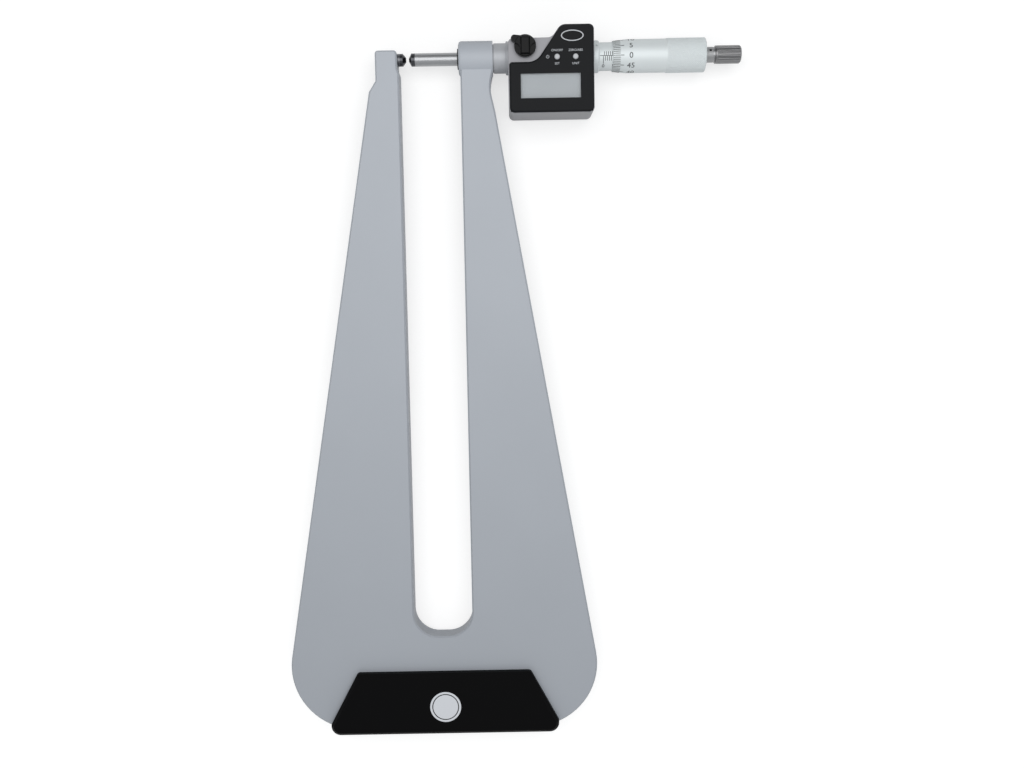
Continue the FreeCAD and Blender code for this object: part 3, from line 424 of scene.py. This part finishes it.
def clear(name):
    """The display's clear window."""
    f = Finish(name)
    haze = f.even(120, detail=3)
    return f.surface(f.mix(haze, (0.75, 0.78, 0.78), (0.85, 0.88, 0.88)),
                     Alpha=0.07, Roughness=0.12)


def liquid_crystal(name, base):
    """The blank display, with the faint streaks of its polarising film."""
    f = Finish(name)
    film = f.noise(30, 220, 30, detail=3)
    return f.surface(f.varied(film, base, 0.96, 1.04),
                     Roughness=0.35 + 0.1 * film, Specular_IOR_Level=0.2)


def solder_mask(name):
    """Green board with copper showing through as lighter tracks."""
    f = Finish(name)
    wave = f.node("ShaderNodeTexWave", {"wave_type": "BANDS", "bands_direction": "DIAGONAL"},
                  {"Vector": f.place(), "Scale": 420.0, "Distortion": 2.0}, "Fac")
    track = wave.ramp(0.55, 0.7)
    return f.surface(f.mix(track, tint(18, 74, 44), tint(40, 112, 66)),
                     Roughness=0.35 + 0.1 * track, Normal=f.bump(track, 0.03 * MM))


def rubbery(name):
    """Black rubber with a fine grain."""
    f = Finish(name)
    grains = f.even(2600, detail=3)
    return f.surface(f.mix(grains, tint(20, 20, 20), tint(34, 34, 34)),
                     Roughness=0.75 + 0.15 * (grains - 0.5), Specular_IOR_Level=0.2,
                     Normal=f.bump(grains, 0.01 * MM))


def finishes(settings):
    """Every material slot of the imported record, by its name."""
    return {
        "frame_paint": painted("frame_paint", settings.paint),
        "steel": turned("steel", settings.steel, roughness=0.36),
        "carbide": turned("carbide", settings.carbide, roughness=0.24),
        "rubber": rubbery("rubber"),
        "satin_chrome": satin("satin_chrome", settings.chrome, roughness=0.55, metal=0.3),
        "housing_grey": moulded("housing_grey", settings.housing, roughness=0.5, grain=2600,
                                depth=0.012 * MM),
        "bezel_black": moulded("bezel_black", settings.bezel, roughness=0.5, grain=2200, depth=0.008 * MM,
                               specular=0.1),
        "window": clear("window"),
        "display": liquid_crystal("display", settings.display),
        "board": solder_mask("board"),
        "switch_steel": satin("switch_steel", settings.steel, roughness=0.28),
        "rotor_brass": turned("rotor_brass", tint(206, 172, 98), roughness=0.3),
        "cell_steel": satin("cell_steel", settings.steel, roughness=0.22),
        "cover_black": moulded("cover_black", settings.bezel, roughness=0.55, grain=1800, depth=0.012 * MM,
                               specular=0.2),
        "button_grey": moulded("button_grey", settings.button, roughness=0.4, grain=2600, depth=0.006 * MM),
        "knob_black": glossy("knob_black", settings.lock),
        "ratchet_grey": satin("ratchet_grey", settings.neck, roughness=0.5, metal=0.8),
        "ratchet_dark": satin("ratchet_dark", settings.ratchet, roughness=0.36),
        "grip_black": moulded("grip_black", settings.grip, roughness=0.55, grain=1500, depth=0.012 * MM,
                              specular=0.07),
    }


def piece(name, mesh, body, material):
    """Puts a finished mesh in the scene, on the body that carries it."""
    obj = bpy.data.objects.new(name, mesh)
    bpy.context.scene.collection.objects.link(obj)
    mesh.materials.clear()
    mesh.materials.append(material)
    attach(obj, body)
    return obj


def from_bmesh(name, bm):
    """A mesh with its faces turned outwards, from a bmesh that is then freed."""
    bmesh.ops.recalc_face_normals(bm, faces=bm.faces)
    mesh = bpy.data.meshes.new(name)
    bm.to_mesh(mesh)
    bm.free()
    return mesh


def on_axis(x, turn, radius):
    """A point at a turn from the front towards the head's top, about the measuring axis."""
    return Vector((x, radius * sin(turn), radius * cos(turn)))


def wrapped_bar(bm, x_range, turn_range, radius, thick):
    """Adds a thin bar that lies on a round surface, whose radius is a function of x."""
    left, right = x_range
    start, end = turn_range
    corners = ((left, 0), (right, 0), (right, thick), (left, thick))
    steps = max(1, ceil(abs(end - start) / FACET))
    rings = []
    for step in range(steps + 1):
        turn = start + (end - start) * step / steps
        rings.append([bm.verts.new(on_axis(x, turn, radius(x) + up)) for x, up in corners])
    tube(bm, rings)


def lettering(text, height, thick):
    """Solid letters of a height, centred on the origin and standing up from z = 0."""
    curve = bpy.data.curves.new("letters", "FONT")
    curve.body = text
    curve.size = height / CAP
    curve.extrude = thick / 2
    curve.align_x = "CENTER"
    curve.resolution_u = 6
    obj = bpy.data.objects.new("letters", curve)
    bpy.context.scene.collection.objects.link(obj)
    bpy.context.view_layer.update()
    seen = obj.evaluated_get(bpy.context.evaluated_depsgraph_get())
    flat = bpy.data.meshes.new_from_object(seen)
    bm = bmesh.new()
    bm.from_mesh(flat)
    bpy.data.objects.remove(obj)
    bpy.data.curves.remove(curve)
    bpy.data.meshes.remove(flat)
    if not bm.verts:
        raise RuntimeError(f"no letters were made for {text}")
    bmesh.ops.remove_doubles(bm, verts=bm.verts, dist=0.0005 * MM)
    bmesh.ops.translate(bm, verts=bm.verts, vec=(0, -height / 2, thick / 2))
    return bm


def wrapped_letters(bm, text, height, thick, x, turn, radius, cuts=8):
    """Adds letters that stand upright on a round surface, read along the axis and bent at cuts."""
    letters = lettering(text, height, thick)
    for cut in range(1, cuts):
        level = -height / 2 + height * cut / cuts
        whole = letters.verts[:] + letters.edges[:] + letters.faces[:]
        bmesh.ops.bisect_plane(letters, geom=whole, plane_co=(0, level, 0), plane_no=(0, 1, 0),
                               dist=0.001 * MM)
    for vert in letters.verts:
        vert.co = on_axis(x + vert.co.x, turn + vert.co.y / radius, radius + vert.co.z)
    append(bm, letters)


def append(bm, other):
    """Moves what one mesh holds into another."""
    part = bpy.data.meshes.new("part")
    other.to_mesh(part)
    other.free()
    bm.from_mesh(part)
    bpy.data.meshes.remove(part)


def flat_letters(bm, text, height, thick, spot):
    """Adds letters that lie on a flat face that looks along +Z."""
    letters = lettering(text, height, thick)
    bmesh.ops.translate(letters, verts=letters.verts, vec=spot)
    append(bm, letters)


def flat_ring(bm, spot, outer, inner, thick, steps=64):
    """Adds a flat elliptical ring, or a disc where inner is None. The radii are (x, y) pairs."""
    x, y, level = spot
    turns = [2 * pi * k / steps for k in range(steps)]
    loops = []
    for radii in (outer, inner):
        if radii is None:
            continue
        for up in (0, thick):
            loops.append([bm.verts.new((x + radii[0] * cos(turn), y + radii[1] * sin(turn), level + up))
                          for turn in turns])
    pairs = [(0, 1)] if inner is None else [(0, 1), (1, 3), (3, 2), (2, 0)]
    for a, b in pairs:
        for k in range(steps):
            n = (k + 1) % steps
            bm.faces.new((loops[a][k], loops[a][n], loops[b][n], loops[b][k]))
    if inner is None:
        bm.faces.new(loops[0][::-1])
        bm.faces.new(loops[1])


def power_symbol(bm, spot, radius, stroke, thick, gap=radians(38), rises=(0.1, 1.15), steps=28):
    """Adds an open ring with an upright bar in its gap. The rises are the bar's ends, in radii."""
    x, y, level = spot
    turns = [pi / 2 + gap + (2 * pi - 2 * gap) * k / steps for k in range(steps + 1)]
    ring = [[(x + reach * cos(turn), y + reach * sin(turn)) for reach in (radius - stroke, radius)]
            for turn in turns]
    bar = [[(x + side * stroke / 2, y + rise * radius) for side in (-1, 1)] for rise in rises]
    corners = ((0, 0), (1, 0), (1, thick), (0, thick))
    for run in (ring, bar):
        tube(bm, [[bm.verts.new((*pair[side], level + up)) for side, up in corners] for pair in run])


def tube(bm, rows):
    """Joins rows of four corners into a bar that is closed at both ends."""
    for near, far in zip(rows, rows[1:]):
        for side in range(4):
            other = (side + 1) % 4
            bm.faces.new((near[side], near[other], far[other], far[side]))
    bm.faces.new(rows[0][::-1])
    bm.faces.new(rows[-1])


# Filled by the first step and read by the others
MATERIALS = {}


class MICROMETER_OT_finishes(bpy.types.Operator):
    """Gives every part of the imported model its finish"""
    bl_idname = "micrometer.finishes"
    bl_label = "Finishes"

    def execute(self, context):
        scene = context.scene
        MATERIALS.update(finishes(scene.micrometer_finish))
        MATERIALS["ink"] = printed("scale_ink", scene.micrometer_scale.ink)
        MATERIALS["label"] = printed("label_white", scene.micrometer_print.white)
        MATERIALS["badge"] = printed("badge_silver", scene.micrometer_print.badge, roughness=0.4)
        settings = scene.micrometer_finish
        # The anvil's material is a darker copy of the spindle's steel, which is painted shade for the dark
        # that it reflects
        own = {"neck_collar": satin("collar_satin", settings.collar, roughness=0.55, metal=0.4),
               "anvil": turned("anvil_shaded_steel", settings.anvil, roughness=0.34)}
        for part in frame["record"]["subparts"]:
            obj = frame["nodes"][part["node"]]
            obj.data.materials.clear()
            obj.data.materials.append(own.get(part["node"]) or MATERIALS[part["material_slot"]])
        return {"FINISHED"}


class MICROMETER_OT_thimble(bpy.types.Operator):
    """Turns the thimble with its cut diamond knurl"""
    bl_idname = "micrometer.thimble"
    bl_label = "Thimble"

    def execute(self, context):
        s = context.scene.micrometer_thimble
        around = s.diamonds * s.steps
        outline = self.outline(s)
        points = []
        for x, radius, knurled in outline:
            for k in range(around):
                cut = self.groove(s, x, k / s.steps) if knurled else 0.0
                points.append(on_axis(x, 2 * pi * k / around, radius - cut))
        faces = []
        for here in range(len(outline)):
            there = (here + 1) % len(outline)
            for k in range(around):
                n = (k + 1) % around
                faces.append((here * around + k, there * around + k, there * around + n, here * around + n))
        mesh = bpy.data.meshes.new("thimble_turned")
        mesh.from_pydata(points, [], faces)
        bm = bmesh.new()
        bm.from_mesh(mesh)
        bpy.data.meshes.remove(mesh)
        mesh = from_bmesh("thimble_turned", bm)
        mesh.shade_smooth()
        mesh.set_sharp_from_angle(angle=radians(24))
        obj = piece("thimble_turned", mesh, "spindle", MATERIALS["satin_chrome"])
        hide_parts("thimble")
        return {"FINISHED"}

    def outline(self, s):
        """The turned form's closed outline, as x, radius and whether the knurl is cut there."""
        left, right, peak = THIMBLE_LOW.x, THIMBLE_HIGH.x, THIMBLE_HIGH.z
        band_left = right - s.band
        stride = s.pitch / s.steps
        rows = round((s.band - 1.5 * s.edge) / stride)
        points = [(left, s.bore, 0), (left, s.front_radius - s.lip, 0), (left + s.lip, s.front_radius, 0),
                  (left + s.bevel, s.body_radius, 0), (band_left, s.body_radius, 0),
                  (band_left, peak - s.edge / 2, 0)]
        points += [(band_left + s.edge / 2 + stride * row, peak, 1) for row in range(rows + 1)]
        last = points[-1][0]
        points += [(last + along * (right - last), peak - down * s.edge, 0) for along, down in ROUNDING]
        points += [(right, peak - s.edge, 0), (right, s.end_hole, 0),
                   (right - s.end_wall, s.end_hole, 0), (right - s.end_wall, s.bore, 0)]
        return points

    def groove(self, s, x, turned):
        """How deep the knurl is cut at x, turned by so many diamonds round the band."""
        along = (x - (THIMBLE_HIGH.x - s.band)) / s.pitch
        crossing = max(abs(2 * (way % 1) - 1) for way in (turned + along, turned - along))
        return s.depth * max(crossing, s.flat)


class MICROMETER_OT_sleeve_scale(bpy.types.Operator):
    """Cuts the sleeve's millimetre scale and fills it"""
    bl_idname = "micrometer.sleeve_scale"
    bl_label = "Sleeve scale"

    def execute(self, context):
        s = context.scene.micrometer_scale
        bm = bmesh.new()
        half = s.line_width / 2
        lean = half / SLEEVE_RADIUS

        def line(left, right, start, end):
            """Adds a line between two places and two turns from the datum line."""
            wrapped_bar(bm, (left, right), (s.datum + start, s.datum + end), lambda x: SLEEVE_RADIUS,
                        s.ink_thick)

        line(SLEEVE_LOW.x + s.margin, s.zero + (s.reach + 0.5) * MM, -lean, lean)
        for mark in range(s.reach + 1):
            x = s.zero + mark * MM
            fifth = mark % s.fifth == 0
            line(x - half, x + half, -2 * lean, s.long_turn if fifth else s.full_turn)
            if fifth:
                wrapped_letters(bm, str(mark), s.sleeve_number, s.ink_thick, x,
                                s.datum + s.number_turn, SLEEVE_RADIUS)
            if mark < s.reach:
                x += 0.5 * MM
                line(x - half, x + half, 2 * lean, s.half_turn)
        piece("sleeve_scale", from_bmesh("sleeve_scale", bm), "sleeve", MATERIALS["ink"])
        return {"FINISHED"}


class MICROMETER_OT_thimble_scale(bpy.types.Operator):
    """Cuts the thimble's divisions and its numbers and fills them"""
    bl_idname = "micrometer.thimble_scale"
    bl_label = "Thimble scale"

    def execute(self, context):
        s = context.scene.micrometer_scale
        t = context.scene.micrometer_thimble
        bm = bmesh.new()
        front = THIMBLE_LOW.x

        def radius(x):
            """The thimble's radius at x, on its bevel or behind it."""
            share = min(1.0, max(0.0, (x - front) / t.bevel))
            return t.front_radius + share * (t.body_radius - t.front_radius)

        lean = s.line_width / 2 / t.front_radius
        for mark in range(s.divisions):
            turn = s.datum + 2 * pi * mark / s.divisions
            fifth = mark % s.fifth == 0
            reach = s.long_line if fifth else s.short_line
            wrapped_bar(bm, (front + s.bare, front + reach), (turn - lean, turn + lean), radius, s.ink_thick)
            if fifth:
                wrapped_letters(bm, str(mark), s.thimble_number, s.ink_thick,
                                front + s.number_place, turn, t.body_radius)
        piece("thimble_scale", from_bmesh("thimble_scale", bm), "spindle", MATERIALS["ink"])
        return {"FINISHED"}


class MICROMETER_OT_bezel_print(bpy.types.Operator):
    """Prints the buttons' labels and the plain oval on the bezel"""
    bl_idname = "micrometer.bezel_print"
    bl_label = "Bezel print"

    def execute(self, context):
        s = context.scene.micrometer_print
        bm = bmesh.new()
        first = (SET_LOW + SET_HIGH) / 2
        second = (UNIT_LOW + UNIT_HIGH) / 2
        for text, spot, up in (("ON/OFF", first, s.above), ("SET", first, -s.below),
                               ("ZERO/ABS", second, s.above), ("UNIT", second, -s.below)):
            flat_letters(bm, text, s.letter, s.thick, (spot.x, spot.y + up, BEZEL_FACE))
        power_symbol(bm, (first.x - s.symbol_side, first.y, BEZEL_FACE), s.symbol, s.stroke, s.thick)
        piece("bezel_print", from_bmesh("bezel_print", bm), "frame", MATERIALS["label"])
        oval = bmesh.new()
        flat_ring(oval, (s.oval_place.x, s.oval_place.y, BEZEL_FACE), s.oval, s.oval_open, s.thick)
        piece("bezel_oval", from_bmesh("bezel_oval", oval), "frame", MATERIALS["label"])
        return {"FINISHED"}


class MICROMETER_OT_grip_badge(bpy.types.Operator):
    """Sets a plain round badge in the grip's front shell"""
    bl_idname = "micrometer.grip_badge"
    bl_label = "Grip badge"

    def execute(self, context):
        s = context.scene.micrometer_print
        bm = bmesh.new()
        spot = (s.badge_place.x, s.badge_place.y, GRIP_FACE)
        rim = s.badge_radius - s.badge_rim
        middle = rim - s.badge_groove
        flat_ring(bm, spot, (s.badge_radius,) * 2, (rim,) * 2, s.badge_thick, steps=96)
        flat_ring(bm, spot, (middle,) * 2, None, s.badge_thick, steps=96)
        piece("grip_badge", from_bmesh("grip_badge", bm), "frame", MATERIALS["badge"])
        return {"FINISHED"}


class MICROMETER_OT_stage(bpy.types.Operator):
    """Lays the floor and sets the light and the camera"""
    bl_idname = "micrometer.stage"
    bl_label = "Stage"

    def execute(self, context):
        scene = context.scene
        s = scene.micrometer_stage
        self.lay_floor(scene, s)
        self.light(scene, s)
        lens = bpy.data.cameras.new("camera")
        lens.lens = s.focal
        lens.sensor_width = SENSOR
        lens.clip_start, lens.clip_end = SEEN_RANGE
        camera = bpy.data.objects.new("camera", lens)
        camera.location = s.place
        camera.rotation_euler = s.turn
        scene.collection.objects.link(camera)
        scene.camera = camera
        scene.view_settings.view_transform = "Standard"
        return {"FINISHED"}

    def lay_floor(self, scene, s):
        """A plain floor, which looks white to the camera and keeps the object's shadow."""
        level = CAD_BOX[0].z - CLEAR
        half = s.floor_size / 2
        corners = [(x * half, y * half, level) for x, y in ((-1, -1), (1, -1), (1, 1), (-1, 1))]
        mesh = bpy.data.meshes.new("floor")
        mesh.from_pydata(corners, [], [range(4)])
        f = Finish("floor")
        foot = (s.key_place[0], s.key_place[1], level)
        away = f.node("ShaderNodeVectorMath", {"operation": "DISTANCE"}, {0: f.place(), 1: foot}, 1)
        lift = s.floor_lift - s.lamp_lift / (1 + (away / s.key_place[2]) ** 2) ** 2
        mottle = f.even(9)
        base = f.varied(mottle, s.floor, 0.99, 1.01)
        glow = f.mix(f.seen(), (0, 0, 0), lift)
        mesh.materials.append(f.surface(base, Roughness=0.9, Specular_IOR_Level=0.0,
                                        Emission_Color=glow, Emission_Strength=1.0))
        floor = bpy.data.objects.new("floor", mesh)
        scene.collection.objects.link(floor)

    def light(self, scene, s):
        """A pale room that is white round the floor, and one large soft lamp."""
        world = bpy.data.worlds.new("room")
        world.use_nodes = True
        scene.world = world
        g = Graph(world.node_tree)
        way = g.node("ShaderNodeTexCoord", output="Generated")
        side = g.node("ShaderNodeSeparateXYZ", None, {0: way}, 1)
        height = Shade(g, side.socket.node.outputs["Z"])
        overhead = s.sky * (s.horizon + (1 - s.horizon) * height.ramp(*SKY_RISE))
        room = overhead + s.fill * (side * -1).ramp(*FILL_RISE)
        shown = g.seen() * (1 - height.ramp(*WALL_END))
        strength = room * (1 - shown) + s.wall * shown
        sky = g.node("ShaderNodeBackground", None, {"Color": opaque(s.air), "Strength": strength})
        g.node("ShaderNodeOutputWorld", None, {"Surface": sky})
        lamp = bpy.data.lights.new("key", "AREA")
        lamp.shape = "RECTANGLE"
        lamp.size = s.key_width
        lamp.size_y = s.key_depth
        lamp.energy = s.key
        key = bpy.data.objects.new("key", lamp)
        key.location = s.key_place
        aim = Vector(s.key_aim) - key.location
        key.rotation_euler = aim.to_track_quat("-Z", "Y").to_euler()
        scene.collection.objects.link(key)


class MICROMETER_PT_panel(bpy.types.Panel):
    """Lists the micrometer's steps and settings"""
    bl_label = "Sheet Metal Micrometer"
    bl_idname = "MICROMETER_PT_panel"
    bl_space_type = "VIEW_3D"
    bl_region_type = "UI"
    bl_category = "Micrometer"

    def draw(self, context):
        for step in STEPS:
            self.layout.operator(step.bl_idname)
        for name in GROUPS:
            settings = getattr(context.scene, name)
            box = self.layout.box()
            for key in settings.__annotations__:
                box.prop(settings, key)


GROUPS = {
    "micrometer_scale": ScaleSettings,
    "micrometer_thimble": ThimbleSettings,
    "micrometer_print": PrintSettings,
    "micrometer_finish": FinishSettings,
    "micrometer_stage": StageSettings,
}
STEPS = (
    MICROMETER_OT_finishes,
    MICROMETER_OT_thimble,
    MICROMETER_OT_sleeve_scale,
    MICROMETER_OT_thimble_scale,
    MICROMETER_OT_bezel_print,
    MICROMETER_OT_grip_badge,
    MICROMETER_OT_stage,
)


def register():
    for name, group in GROUPS.items():
        bpy.utils.register_class(group)
        setattr(bpy.types.Scene, name, bpy.props.PointerProperty(type=group))
    for step in STEPS:
        bpy.utils.register_class(step)
    bpy.utils.register_class(MICROMETER_PT_panel)


def unregister():
    bpy.utils.unregister_class(MICROMETER_PT_panel)
    for step in reversed(STEPS):
        bpy.utils.unregister_class(step)
    for name, group in GROUPS.items():
        delattr(bpy.types.Scene, name)
        bpy.utils.unregister_class(group)


def main():
    register()
    for step in STEPS:
        family, action = step.bl_idname.split(".")
        getattr(getattr(bpy.ops, family), action)()


if __name__ == "__main__":
    main()
